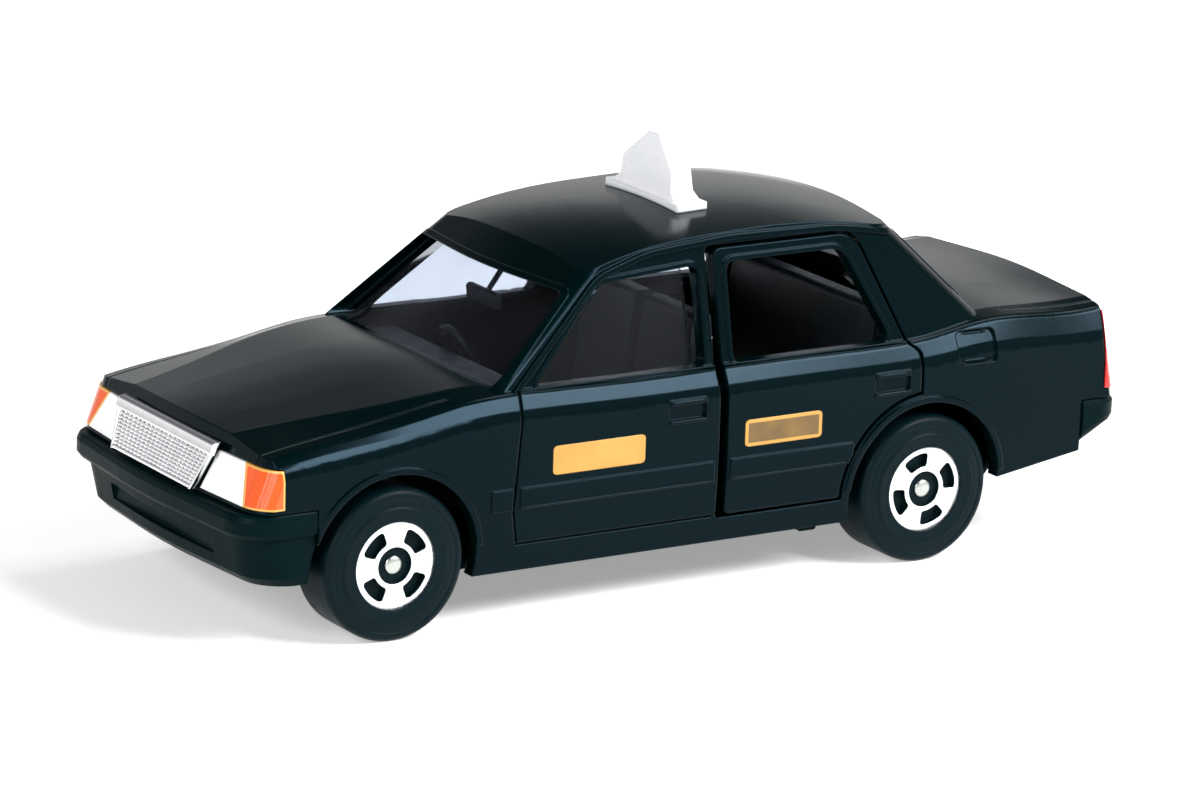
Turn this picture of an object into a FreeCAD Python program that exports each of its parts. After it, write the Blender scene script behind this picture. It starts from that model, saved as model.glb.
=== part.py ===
import FreeCAD, Part
import os
from functools import lru_cache
from math import cos, hypot, radians, sin, sqrt, tan

# Small die-cast taxi saloon, all lengths in millimetres.
# +X is the front of the car, +Y its left side and +Z up.
# The origin lies on the ground under the middle of the car.

# Overall layout
car_length = 74.4
front_axle_x = 24.6
wheelbase = 43.65
rear_axle_x = front_axle_x - wheelbase

# Body casting
wall = 1.1
waist_y = 13.3
sill_y = 12.7
sill_z = 3.75
tail_sill_front_z = 5.5
tail_sill_back_z = 6.6
hood_front_x = 35.0
hood_front_z = 14.3
cowl_x = 18.2
cowl_z = 16.8
belt_z = 16.2
trunk_front_x = -24.3
trunk_back_x = -34.3
trunk_z = 17.7
shoulder_y = 13.25
shoulder_z = 14.7
deck_edge_y = 12.45
deck_round = 0.5
shoulder_round = 2.2
waist_round = 40.0
crease_round = 1.0
crown_round = 120.0

# Nose and tail, which lean back as they rise
nose_x = 36.1
nose_z = 10.34
nose_lean = 0.383
nose_bow = 0.9
tail_x = -36.8
tail_lean = 0.2
tail_bow = 0.7
corner_round = 2.4

# Cabin above the belt
cabin_low_z = 15.6
cabin_high_z = 25.0
screen_base_x = 18.6
screen_lean = 1.19
screen_bow = 1.1
backlight_base_x = -27.7
backlight_lean = 1.0
backlight_bow = 1.4
cabin_low_y = 12.6
cabin_lean = 0.33
cabin_tuck = 0.25
pillar_round = 1.2
rear_pillar_round = 2.0
roof_front_x = 9.0
roof_front_z = 23.85
roof_mid_x = -4.0
roof_top_z = 25.75
roof_back_x = -18.6
roof_back_z = 24.6
roof_crown = 0.73
roof_edge_y = 9.6

# Windows, in side view
belt_gap = 0.1
front_window_low_x = 13.4
front_window_high_x = 7.2
front_window_back_x = -0.6
front_window_high_z = 22.6
side_window_high_z = 23.1
window_lean = 0.5
rear_window_front_x = -2.9
rear_window_high_x = -13.2
rear_window_low_x = -16.4
window_round = 0.7
window_top_round = 1.5
screen_low_z = 16.2
screen_low_bow = 0.35
screen_high_z = 22.2
screen_low_y = 11.75
screen_high_y = 9.6
screen_slab = 6.4
backlight_low_z = 18.6
backlight_high_z = 23.2
backlight_low_y = 10.0
backlight_high_y = 8.2

# Rear left door
door_front_x = -2.0
door_hinge_gap = 0.75
door_gap = 0.25
door_sill_z = 5.7
door_top_z = 24.0
door_top_back_x = -14.3
door_top_round = 1.8
door_belt_back_x = -17.5
door_back_x = -18.3
door_arch_land = 0.9
door_inner_y = 8.9
hinge_x = -3.3
hinge_y = 11.9
hinge_pin_radius = 0.45
hinge_rod_radius = 0.6
hinge_clearance = 0.07
bracket_radius = 0.85
bracket_z = 13.2
bracket_height = 0.9

# Wheels and axles
tyre_radius = 5.42
tyre_width = 4.3
wheel_face_y = 13.35
tyre_shoulder = 0.55
tyre_ridge_radius = 4.05
tyre_ridge = 0.12
arch_radius = 6.45
arch_inner_y = 8.4
disc_radius = 3.09
disc_depth = 0.25
slot_inner_radius = 1.65
slot_outer_radius = 2.68
slot_angle = 50.0
slot_depth = 0.5
slot_count = 4
front_slot_turn = 20.0
rear_slot_turn = -6.0
hub_radius = 1.3
hub_depth = 0.55
axle_radius = 0.55
axle_clearance = 0.06
axle_head_radius = 0.8
axle_head_length = 0.25

# Grille, lamps and bumpers
grille_top_z = 13.8
grille_low_z = 10.4
grille_top_y = 7.0
grille_low_y = 5.85
grille_proud = 0.5
grille_frame = 0.45
grille_bars_up = 13
grille_bars_across = 6
grille_bar = 0.16
lamp_low_z = 10.45
lamp_high_z = 13.1
lamp_low_y = 5.9
lamp_high_y = 6.5
lamp_split_y = 11.5
lamp_back_x = 33.3
lamp_proud = 0.12
lamp_depth = 0.7
lamp_gap = 0.04
tail_lamp_low_z = 11.1
tail_lamp_high_z = 16.7
tail_lamp_inner_y = 8.4
tail_lamp_front_x = -34.8
bumper_top_z = 10.15
bumper_step_z = 8.4
bumper_low_z = 4.8
bumper_back_x = front_axle_x + arch_radius - 0.4
bumper_wall = 1.8
bumper_skin = 1.3
bumper_floor = 0.9
bumper_step = 0.8
bumper_seam = 0.08
rear_bumper_edge_z = 8.8
rear_bumper_top_z = 10.3
rear_bumper_slant = 3.6
rear_bumper_front_x = -32.8

# Base plate under the car
base_low_z = 3.85
base_thick = 0.8
base_half_width = 11.3
base_front_x = 31.0
base_ramp_x = -24.5
base_step_x = -26.0
base_step_z = 5.7
base_tail_x = -33.4
base_tail_z = 6.7
axle_block_length = 3.4
axle_block_half_width = 8.2
post_radius = 1.5
post_neck_radius = 0.9
rivet_radius = 1.5
rivet_thick = 0.35
rivet_clearance = 0.03
pad_radius = 2.4
pad_thick = 1.2
front_post_x = 19.8
rear_post_x = -29.5
rear_pad_z = 5.6

# Interior
tray_thick = 0.7
tray_half_width = 9.4
seat_width = 6.6
seat_gap = 1.2
seat_cushion_z = 9.4
front_seat_x = 0.5
front_seat_depth = 7.0
seat_back_z = 18.6
seat_back_thick = 1.8
rear_seat_x = -9.5
rear_seat_back_x = -17.5
rear_seat_back_z = 18.2
dash_front_x = 15.2
dash_back_x = 11.0
dash_z = 15.5
wheel_ring_radius = 2.0
wheel_ring_tube = 0.3
glass_thick = 0.6
glass_gap = 0.1
mirror_x = 10.1
mirror_z = 19.6
mirror_half = 1.9
mirror_lean = 0.75

# Roof sign
sign_x = -3.8
sign_base_length = 2.7
sign_base_half = 4.95
sign_foot_z = 26.1
sign_neck_z = 26.7
sign_neck_half = 3.55
sign_body_half = 3.36
sign_shoulder_z = 28.15
sign_top_z = 30.3
sign_top_half = 0.8
sign_corner = 0.3

# Raised trim and sunk lines of the body casting
trim_proud = 0.14
strip_low_z = 8.2
strip_high_z = 9.75
handle_low_z = 12.8
handle_high_z = 14.5
handle_bar = 0.4
handle_sink = 0.25
front_handle_x = 1.4
rear_handle_x = -15.85
handle_length = 3.0
arch_lip = 0.45
frame_lip = 0.35
frame_proud = 0.12
rail_foot_x = 15.5
rail_bend_x = 7.3
rail_width = 0.4
rail_proud = 0.28
line_width = 0.18
line_depth = 0.2
line_start_y = 11.0
line_start_z = 12.0
front_door_line_x = 15.0
flap_front_x = -21.6
flap_back_x = -24.9
flap_low_z = 14.3
flap_high_z = 16.6
hood_line_y = 11.35
trunk_line_y = 10.9
plate_half = 3.9
plate_low_z = 12.0
plate_high_z = 14.4


def vec(x, y, z):
    return FreeCAD.Vector(x, y, z)


def box(x0, x1, y0, y1, z0, z1):
    """A box between two corners."""
    return Part.makeBox(x1 - x0, y1 - y0, z1 - z0, vec(x0, y0, z0))


def rounded_wire(points, radii, place):
    """A closed outline in a plane. Each corner is an arc, or sharp where its radius is 0.

    place turns (a, b) into a point in space.
    """
    count = len(points)
    starts = []
    middles = []
    ends = []
    for i in range(count):
        corner = vec(points[i][0], points[i][1], 0)
        before = vec(points[i - 1][0], points[i - 1][1], 0) - corner
        after = vec(points[(i + 1) % count][0], points[(i + 1) % count][1], 0) - corner
        half = before.getAngle(after) / 2
        reach = min(radii[i] / tan(half), 0.48 * before.Length, 0.48 * after.Length)
        radius = reach * tan(half)
        to_before = before.normalize()
        to_after = after.normalize()
        inward = (to_before + to_after).normalize()
        starts.append(corner + to_before * reach)
        ends.append(corner + to_after * reach)
        middles.append(corner + inward * (radius / sin(half) - radius))
    edges = []
    for i in range(count):
        start = place(starts[i].x, starts[i].y)
        middle = place(middles[i].x, middles[i].y)
        end = place(ends[i].x, ends[i].y)
        follow = place(starts[(i + 1) % count].x, starts[(i + 1) % count].y)
        if radii[i] > 0:
            edges.append(Part.Arc(start, middle, end).toShape())
        edges.append(Part.LineSegment(end, follow).toShape())
    return Part.Wire(edges)


def inset(points, distance):
    """The outline with every side moved inwards by a distance, or outwards where it is negative."""
    count = len(points)
    pairs = [(points[i], points[(i + 1) % count]) for i in range(count)]
    turn = 1 if sum(a[0] * b[1] - b[0] * a[1] for a, b in pairs) > 0 else -1
    sides = []
    for a, b in pairs:
        length = turn * hypot(b[0] - a[0], b[1] - a[1])
        normal = ((a[1] - b[1]) / length, (b[0] - a[0]) / length)
        sides.append((normal[0], normal[1], normal[0] * a[0] + normal[1] * a[1] + distance))
    moved = []
    for i in range(count):
        (ax, ay, ac), (bx, by, bc) = sides[i - 1], sides[i]
        cross = ax * by - bx * ay
        moved.append(((ac * by - bc * ay) / cross, (ax * bc - bx * ac) / cross))
    return moved


def side_prism(points, radii, y0, y1):
    """A prism along Y over an outline drawn in side view."""
    wire = rounded_wire(points, radii, lambda a, b: vec(a, y0, b))
    return Part.Face(wire).extrude(vec(0, y1 - y0, 0))


def front_prism(points, radii, x0, x1):
    """A prism along X over an outline drawn in front view."""
    wire = rounded_wire(points, radii, lambda a, b: vec(x0, a, b))
    return Part.Face(wire).extrude(vec(x1 - x0, 0, 0))


def side_band(points, radii, width, y0, y1):
    """A band of the given width just inside an outline drawn in side view, as a prism along Y."""
    inner_radii = [max(radius - width, 0.0) for radius in radii]
    inner = side_prism(inset(points, width), inner_radii, y0 - 1.0, y1 + 1.0)
    return side_prism(points, radii, y0, y1).cut(inner)


def front_band(points, radii, width, x0, x1):
    """A band of the given width just inside an outline drawn in front view, as a prism along X."""
    inner_radii = [max(radius - width, 0.0) for radius in radii]
    inner = front_prism(inset(points, width), inner_radii, x0 - 1.0, x1 + 1.0)
    return front_prism(points, radii, x0, x1).cut(inner)


def line_prisms(points, width, place, reach):
    """Thin prisms over the runs of an open line. place and reach say where and how far they go."""
    prisms = []
    for (ax, ay), (bx, by) in zip(points, points[1:]):
        length = hypot(bx - ax, by - ay)
        dx = 0.5 * width * (bx - ax) / length
        dy = 0.5 * width * (by - ay) / length
        corners = [(ax - dx + dy, ay - dy - dx), (bx + dx + dy, by + dy - dx),
                   (bx + dx - dy, by + dy + dx), (ax - dx - dy, ay - dy + dx)]
        wire = Part.makePolygon([place(a, b) for a, b in corners + corners[:1]])
        prisms.append(Part.Face(wire).extrude(reach))
    return prisms


def shifted(shape, x, y, z):
    """A copy of a shape moved by the given distances."""
    copy = shape.copy()
    copy.translate(vec(x, y, z))
    return copy


def mirrored(shape):
    """The same shape on the other side of the car."""
    return shape.mirror(vec(0, 0, 0), vec(0, 1, 0))


def along(line, x):
    """The height or half-width of a character line at x, by straight runs between its points."""
    points = sorted(line)
    for (xa, va), (xb, vb) in zip(points, points[1:]):
        if x <= xb:
            return va + (vb - va) * (x - xa) / (xb - xa)
    return points[-1][1]


# Character lines of the body below the windows, as (x, value) points
far_front_x = 41.0
far_back_x = -41.0
crease_lines = {
    "waist_y": [(far_front_x, waist_y - 0.3), (hood_front_x, waist_y - 0.1), (front_axle_x, waist_y),
                (trunk_front_x, waist_y), (trunk_back_x, waist_y - 0.3), (far_back_x, waist_y - 0.5)],
    "shoulder_z": [(far_front_x, shoulder_z - 2.9), (hood_front_x, shoulder_z - 2.1),
                   (cowl_x, shoulder_z - 0.1), (rear_axle_x, shoulder_z), (trunk_front_x, shoulder_z + 0.5),
                   (far_back_x, shoulder_z + 0.1)],
    "edge_z": [(far_front_x, hood_front_z - 1.6), (hood_front_x, hood_front_z - 0.8), (cowl_x, belt_z - 0.1),
               (0.0, belt_z), (door_back_x, belt_z + 0.1), (trunk_front_x, trunk_z - 0.55),
               (trunk_back_x, trunk_z - 0.75), (far_back_x, trunk_z - 1.3)],
    "edge_y": [(far_front_x, deck_edge_y - 0.4), (hood_front_x, deck_edge_y - 0.2), (cowl_x, deck_edge_y),
               (door_back_x, deck_edge_y), (trunk_back_x, deck_edge_y - 0.5), (far_back_x, deck_edge_y - 0.7)],
    "crease_z": [(far_front_x, hood_front_z - 1.0), (hood_front_x, hood_front_z - 0.1),
                 (21.2, cowl_z - 0.55), (cowl_x, cowl_z - 0.25), (0.0, cowl_z - 0.2), (door_back_x, cowl_z),
                 (trunk_front_x, trunk_z - 0.3), (trunk_back_x, trunk_z - 0.4), (far_back_x, trunk_z - 1.0)],
    "crease_y": [(far_front_x, 5.6), (hood_front_x, 6.9), (21.2, 10.2), (cowl_x, 10.3),
                 (door_back_x, 10.6), (trunk_back_x, 10.0), (far_back_x, 9.8)],
    "apex_z": [(far_front_x, hood_front_z - 0.8), (hood_front_x, hood_front_z + 0.15), (21.2, cowl_z - 0.2),
               (cowl_x, cowl_z + 0.1), (0.0, cowl_z + 0.1), (door_back_x, cowl_z + 0.3), (trunk_front_x, trunk_z + 0.05),
               (trunk_back_x, trunk_z), (far_back_x, trunk_z - 0.8)],
}
stations = [far_front_x, hood_front_x, 28.0, 21.2, cowl_x, 8.0, -6.0, door_back_x, trunk_front_x, -29.0,
            trunk_back_x, far_back_x]


def body_half(x, grow):
    """The corners of half the lower body's outline across the car at x, grown outwards by grow."""
    return [
        (sill_y + grow, 1.0),
        (along(crease_lines["waist_y"], x) + grow, 9.0),
        (shoulder_y - waist_y + along(crease_lines["waist_y"], x) + grow, along(crease_lines["shoulder_z"], x)),
        (along(crease_lines["edge_y"], x) + grow, along(crease_lines["edge_z"], x) + grow),
        (along(crease_lines["crease_y"], x), along(crease_lines["crease_z"], x) + grow),
    ]


def outer_section(x, grow):
    """The lower body's outline at x with its corners rounded and its deck crowned."""
    half = body_half(x, grow)
    half_radii = [0.3, waist_round, shoulder_round, deck_round, crease_round]
    other_half = [(-y, z) for y, z in reversed(half)]
    points = half + [(0.0, along(crease_lines["apex_z"], x) + grow)] + other_half
    radii = half_radii + [crown_round] + list(reversed(half_radii))
    return rounded_wire(points, radii, lambda a, b: vec(x, a, b))


def inner_section(x, grow):
    """The lower body's outline at x with plain corners, for surfaces inside the casting."""
    half = body_half(x, grow)
    corners = [vec(x, y, z) for y, z in half + [(-y, z) for y, z in reversed(half)]]
    return Part.makePolygon(corners + corners[:1])


def plan_outline(z, front, back, half_front, half_back, bows, radius, back_radius=None):
    """A plan outline at height z with bowed ends and round corners, alike unless back_radius is given."""
    front_bow, back_bow = bows
    rear = radius if back_radius is None else back_radius
    points = [
        (front, 0.0),
        (front - front_bow, half_front),
        (back + back_bow, half_back),
        (back, 0.0),
        (back + back_bow, -half_back),
        (front - front_bow, -half_front),
    ]
    radii = [60.0, radius, rear, 60.0, rear, radius]
    return rounded_wire(points, radii, lambda a, b: vec(a, b, z))


def nose_at(z):
    return nose_x - nose_lean * (z - nose_z)


def tail_at(z):
    return tail_x + tail_lean * (z - nose_z)


def ends_solid(grow):
    """The plan outline of the body, leaning back at nose and tail, as one tall solid."""
    wires = []
    for z in (0.0, 20.0):
        wires.append(plan_outline(z, nose_at(z) + grow, tail_at(z) - grow, waist_y + 0.2 + grow,
                                  waist_y + 0.2 + grow, (nose_bow, tail_bow), corner_round + grow))
    return Part.makeLoft(wires, True, True)


@lru_cache(None)
def lower_body(grow):
    """The solid form of the body below the windows, smooth outside and plainer inside the casting."""
    if grow < 0:
        inner_stations = [far_front_x, hood_front_x, cowl_x, door_back_x, trunk_front_x, trunk_back_x, far_back_x]
        form = Part.makeLoft([inner_section(x, grow) for x in inner_stations], True, True)
    else:
        form = Part.makeLoft([outer_section(x, grow) for x in stations], True, False)
    return form.common(ends_solid(grow))


def roof_section(x, top, plain):
    """The roof's outline across the car at x, as an arc, or as two straight slopes inside the casting."""
    radius = (roof_edge_y ** 2 + roof_crown ** 2) / (2 * roof_crown)
    if plain:
        far = roof_edge_y * 1.6
        points = [vec(x, far, 10.0), vec(x, far, top - 1.6 * roof_crown), vec(x, 0, top),
                  vec(x, -far, top - 1.6 * roof_crown), vec(x, -far, 10.0)]
        return Part.makePolygon(points + points[:1])
    far = roof_edge_y * 1.6
    low = top - radius + sqrt(radius ** 2 - far ** 2)
    arc = Part.Arc(vec(x, far, low), vec(x, 0, top), vec(x, -far, low)).toShape()
    rest = Part.makePolygon([vec(x, -far, low), vec(x, -far, 10.0), vec(x, far, 10.0), vec(x, far, low)])
    return Part.Wire([arc] + rest.Edges)


@lru_cache(None)
def cabin(grow):
    """The solid form of the cabin: sloping sides and screens under a crowned roof."""
    plain = grow < 0
    wires = []
    for z in (cabin_low_z + 1.5 * min(grow, 0.0), cabin_high_z + 2.0):
        rise = z - cabin_low_z
        half = cabin_low_y - cabin_lean * rise + grow
        wires.append(plan_outline(z, screen_base_x - screen_lean * rise + 1.4 * grow,
                                  backlight_base_x + backlight_lean * rise - 1.3 * grow,
                                  half - cabin_tuck, half - cabin_tuck, (screen_bow, backlight_bow),
                                  0.0 if plain else pillar_round, 0.0 if plain else rear_pillar_round))
    sides = Part.makeLoft(wires, True, True)
    roof_wires = []
    for x, top in ((30.0, roof_front_z - 6.0), (roof_front_x, roof_front_z), (roof_mid_x + 7.0, roof_top_z - 0.5),
                   (roof_mid_x, roof_top_z), (roof_mid_x - 8.0, roof_top_z - 0.1), (roof_back_x, roof_back_z),
                   (-36.0, roof_back_z - 4.0)):
        roof_wires.append(roof_section(x, top + grow, plain))
    roof = Part.makeLoft(roof_wires, True, plain)
    return sides.common(roof)


def front_window():
    """The outline of the front side window, and the radii of its corners."""
    low = belt_z + belt_gap
    points = [(front_window_low_x, low), (front_window_high_x, front_window_high_z),
              (front_window_back_x - window_lean, side_window_high_z), (front_window_back_x, low)]
    return points, [0.3, window_top_round, window_round, window_round]


def rear_window():
    low = belt_z + belt_gap
    points = [(rear_window_front_x, low), (rear_window_front_x - window_lean, side_window_high_z),
              (rear_window_high_x, side_window_high_z), (rear_window_low_x, low)]
    return points, [window_round, window_round, window_top_round, window_round]


def windscreen():
    """The windscreen's outline in front view, lower at its bottom corners than in the middle."""
    points = [(screen_low_y, screen_low_z), (screen_high_y, screen_high_z),
              (-screen_high_y, screen_high_z), (-screen_low_y, screen_low_z),
              (0.0, screen_low_z + screen_low_bow)]
    return points, [window_round] * 4 + [crown_round]


def back_window():
    points = [(backlight_low_y, backlight_low_z), (backlight_high_y, backlight_high_z),
              (-backlight_high_y, backlight_high_z), (-backlight_low_y, backlight_low_z)]
    return points, [window_round] * 4


def screen_zone(base_x, lean):
    """A leaning slab of space round the windscreen or the back window, clear of the side walls."""
    low = vec(base_x + lean * (cabin_low_z - 13.0), -20.0, 13.0)
    high = vec(base_x + lean * (cabin_low_z - 26.0), -20.0, 26.0)
    away = vec(screen_slab / 2, 0, 0)
    wire = Part.makePolygon([low - away, low + away, high + away, high - away, low - away])
    return Part.Face(wire).extrude(vec(0, 40.0, 0))


def at_windscreen(prism):
    return prism.common(screen_zone(screen_base_x - screen_bow / 2, screen_lean))


def at_back_window(prism):
    return prism.common(screen_zone(backlight_base_x + backlight_bow / 2, -backlight_lean))


def window_cuts():
    """The openings for windscreen, back window and side windows."""
    reach = 20.0
    return [at_windscreen(front_prism(*windscreen(), 2.0, 26.0)).common(cabin(0.0)),
            at_back_window(front_prism(*back_window(), -30.0, -15.0)),
            side_prism(*front_window(), -reach, reach), side_prism(*rear_window(), -reach, reach)]


def door_prism(gap, hinge_gap, y0, y1):
    """The rear left door's outline in side view, grown by the gap round it, as a prism."""
    front = door_front_x + hinge_gap
    low = door_sill_z - gap
    back = door_back_x - gap
    points = [(front, low), (front, belt_z - 0.4), (front - 0.6, door_top_z + gap),
              (door_top_back_x - 0.8 * gap, door_top_z + gap), (door_belt_back_x - gap, belt_z),
              (back, belt_z - 0.6), (back, low)]
    radii = [0.4, 3.0, 0.5, door_top_round, 0.6, 0.6, 0.3]
    arch = cylinder_y(rear_axle_x, tyre_radius, arch_radius + door_arch_land - gap, y0 - 1.0, y1 + 1.0)
    return side_prism(points, radii, y0, y1).cut(arch)


def cylinder_y(x, z, radius, y0, y1):
    return Part.makeCylinder(radius, y1 - y0, vec(x, y0, z), vec(0, 1, 0))


def under_cut():
    """What lies below the body's lower edge, from nose to tail."""
    points = [(far_front_x, -2.0), (far_front_x, bumper_top_z), (bumper_back_x, bumper_top_z),
              (bumper_back_x, sill_z), (rear_axle_x, sill_z), (rear_axle_x - arch_radius, tail_sill_front_z),
              (rear_bumper_front_x, tail_sill_back_z), (rear_bumper_front_x, rear_bumper_top_z + bumper_seam),
              (far_back_x, rear_bumper_top_z + bumper_seam), (far_back_x, -2.0)]
    wire = Part.makePolygon([vec(x, -20.0, z) for x, z in points + points[:1]])
    return Part.Face(wire).extrude(vec(0, 40.0, 0))


def arch_cuts():
    """The open wheel arches, on both sides of both axles."""
    cuts = []
    for x in (front_axle_x, rear_axle_x):
        cuts.append(cylinder_y(x, tyre_radius, arch_radius, arch_inner_y, 20.0))
        cuts.append(cylinder_y(x, tyre_radius, arch_radius, -20.0, -arch_inner_y))
    return cuts


def lamp_space(side, gap):
    """The space that a headlamp and its indicator fill, with an inner end that leans like the grille's."""
    points = [(lamp_low_y - gap, lamp_low_z - gap), (lamp_high_y - gap, lamp_high_z + gap),
              (20.0, lamp_high_z + gap), (20.0, lamp_low_z - gap)]
    return front_prism([(side * y, z) for y, z in points], [0.0] * 4, lamp_back_x - gap, far_front_x)


def tail_lamp_box(side, gap):
    ys = sorted((side * (tail_lamp_inner_y - gap), side * 20.0))
    return box(far_back_x, tail_lamp_front_x + gap, ys[0], ys[1], tail_lamp_low_z - gap, tail_lamp_high_z + gap)


def hinge_lugs():
    """The bracket and the sill socket that hold the door's hinge pin."""
    eye = Part.makeCylinder(bracket_radius, bracket_height, vec(hinge_x, hinge_y, bracket_z))
    neck_y = hinge_y - 2.6
    arm = box(hinge_x - bracket_radius, hinge_x + 0.4 * bracket_radius, neck_y, hinge_y, bracket_z,
              bracket_z + bracket_height)
    cross = box(hinge_x - bracket_radius, 0.6, neck_y, neck_y + 1.0, bracket_z, bracket_z + bracket_height)
    wall_arm = box(-0.6, 0.6, neck_y, waist_y - 0.5 * wall, bracket_z, bracket_z + bracket_height)
    socket = box(hinge_x - 1.1, hinge_x + 1.1, hinge_y - 1.0, sill_y - 0.3 * wall,
                 base_low_z + base_thick + 0.1, door_sill_z - door_gap)
    return eye.fuse([arm, cross, wall_arm, socket])


def hinge_pin_hole():
    return Part.makeCylinder(hinge_pin_radius + hinge_clearance, bracket_z + bracket_height,
                             vec(hinge_x, hinge_y, 0.0))


def post_places():
    """The x of each rivet post and the height of its pad's underside."""
    return [(front_post_x, base_low_z), (rear_post_x, rear_pad_z)]


def posts():
    """The two posts under hood and trunk that pass through the base plate and are riveted there."""
    shapes = []
    for x, low in post_places():
        top = along(crease_lines["apex_z"], x) - 0.5 * wall
        shapes.append(Part.makeCylinder(post_radius, top - low - pad_thick, vec(x, 0, low + pad_thick)))
        shapes.append(Part.makeCylinder(post_neck_radius, pad_thick, vec(x, 0, low)))
        shapes.append(Part.makeCylinder(rivet_radius, rivet_thick, vec(x, 0, low)))
    return shapes


def side_trim():
    """Raised forms of the left side below the windows: protective strip, handles and arch lips."""
    low_y = waist_y - 0.6 * wall
    reach = 20.0
    blocks = [box(x0, x1, low_y, reach, strip_low_z, strip_high_z)
              for x0, x1 in ((15.5, 17.2), (-0.9, 14.9), (-12.6, door_front_x - 0.2))]
    for x in (front_handle_x, rear_handle_x):
        x0 = x - handle_length / 2
        x1 = x + handle_length / 2
        blocks.append(box(x0, x1, low_y, reach, handle_high_z - handle_bar, handle_high_z))
        blocks.append(box(x0, x1, low_y, reach, handle_low_z, handle_low_z + 0.6 * handle_bar))
    for x in (front_axle_x, rear_axle_x):
        ring = cylinder_y(x, tyre_radius, arch_radius + arch_lip, low_y, reach)
        ring = ring.cut(cylinder_y(x, tyre_radius, arch_radius, low_y - 1.0, reach + 1.0))
        blocks.append(ring.cut(box(x - 10.0, x + 10.0, low_y - 1.0, reach + 1.0, 0.0, tyre_radius + 0.6)))
    compound = Part.makeCompound(blocks).cut(under_cut())
    return compound.common(shifted(lower_body(0.0), 0, trim_proud, 0))


def rail_outline():
    """The drip rail's outer edge in side view: up the windscreen pillar and back along the roof."""
    edge_z = roof_top_z - roof_crown
    points = [(rail_foot_x, belt_z - 0.2), (rail_bend_x, edge_z - 1.8), (roof_mid_x + 7.0, edge_z - 0.6),
              (roof_mid_x, edge_z - 0.1), (roof_mid_x - 9.0, edge_z - 0.25),
              (door_top_back_x - 3.2, edge_z - 1.0), (rail_foot_x - 50.0, edge_z - 1.0),
              (rail_foot_x - 50.0, belt_z - 0.2)]
    return points, [0.0, 4.0, 10.0, 20.0, 20.0, 2.5, 0.0, 0.0]


def cabin_trim():
    """Raised forms round the windows, and the drip rails, on both sides and both screens."""
    reach = 20.0
    left = []
    for points, radii in (front_window(), rear_window()):
        grown = [radius + frame_lip for radius in radii]
        left.append(side_band(inset(points, -frame_lip), grown, frame_lip, 4.0, reach))
    frames = Part.makeCompound(left).common(shifted(cabin(0.0), 0, frame_proud, 0))
    above = box(door_top_back_x - 3.2, 40.0, 0.0, reach, belt_z + belt_gap, 40.0)
    rail = side_band(*rail_outline(), rail_width, 4.0, reach).common(above)
    rail = rail.common(shifted(cabin(0.0), 0, rail_proud, 0))
    screens = []
    for outline, place, push in ((windscreen(), at_windscreen, frame_proud),
                                 (back_window(), at_back_window, -frame_proud)):
        points, radii = outline
        grown = [radius + frame_lip for radius in radii]
        band = place(front_band(inset(points, -frame_lip), grown, frame_lip, -30.0, 26.0))
        screens.append(band.common(shifted(cabin(0.0), push, 0, 0)))
    inside = cabin(-0.6 * wall)
    trims = [shape.cut(inside) for shape in (frames, rail)]
    return trims + [mirrored(shape) for shape in trims] + [shape.cut(inside) for shape in screens]


def side_place(x, z):
    """A point of a side view outline, on a plane just inside the left wall."""
    return vec(x, line_start_y, z)


def top_place(x, y):
    """A point of a plan outline, on a plane below the decks."""
    return vec(x, y, line_start_z)


def side_lines(*runs):
    """Sunk lines in the left side along runs drawn in side view."""
    prisms = []
    for run in runs:
        prisms += line_prisms(run, line_width, side_place, vec(0, 20.0 - line_start_y, 0))
    return Part.makeCompound(prisms).cut(shifted(lower_body(0.0), 0, -line_depth, 0))


def deck_lines():
    """Sunk lines on the left of hood and trunk lid."""
    hood = [(hood_front_x - 0.6, hood_line_y - 0.3), (cowl_x + 1.6, hood_line_y)]
    trunk = [(trunk_front_x - 2.4, trunk_line_y), (far_back_x, trunk_line_y)]
    prisms = []
    for run in (hood, trunk):
        prisms += line_prisms(run, line_width, top_place, vec(0, 0, 20.0 - line_start_z))
    return Part.makeCompound(prisms).cut(shifted(lower_body(0.0), 0, 0, -line_depth))


def side_pockets():
    """Shallow pockets in the left side: between the bars of each handle, and round the filler flap."""
    pockets = [box(x - handle_length / 2, x + handle_length / 2, line_start_y, 20.0,
                   handle_low_z + 0.6 * handle_bar, handle_high_z - handle_bar)
               for x in (front_handle_x, rear_handle_x)]
    flap = [(flap_back_x, flap_low_z), (flap_front_x, flap_low_z), (flap_front_x, flap_high_z),
            (flap_back_x, flap_high_z)]
    pockets.append(side_prism(flap, [0.4] * 4, line_start_y, 20.0))
    return Part.makeCompound(pockets).cut(shifted(lower_body(0.0), 0, -handle_sink, 0))


def panel_lines():
    """Sunk lines between the panels that don't open: front doors, right rear door, hood and trunk lid."""
    bottom = door_sill_z
    top = belt_z + 0.1
    split = door_front_x + 0.4
    front_door = [(front_door_line_x - 0.3, top), (front_door_line_x + 0.4, strip_low_z),
                  (front_door_line_x, bottom), (door_front_x + 1.2, bottom)]
    rear_door_front = [(split, top), (split, bottom), (rear_axle_x + arch_radius + door_arch_land, bottom)]
    rear_door_back = [(door_back_x, tyre_radius + arch_radius + 1.0), (door_back_x, belt_z - 0.6),
                      (door_belt_back_x, top)]
    both = [side_lines(front_door), side_pockets(), deck_lines()]
    return both + [mirrored(shape) for shape in both + [side_lines(rear_door_front, rear_door_back)]]


def plate_recess():
    """The blank number plate's shallow recess in the tail."""
    block = box(far_back_x, -30.0, -plate_half, plate_half, plate_low_z, plate_high_z)
    return block.cut(shifted(lower_body(0.0), line_depth, 0, 0))


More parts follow.
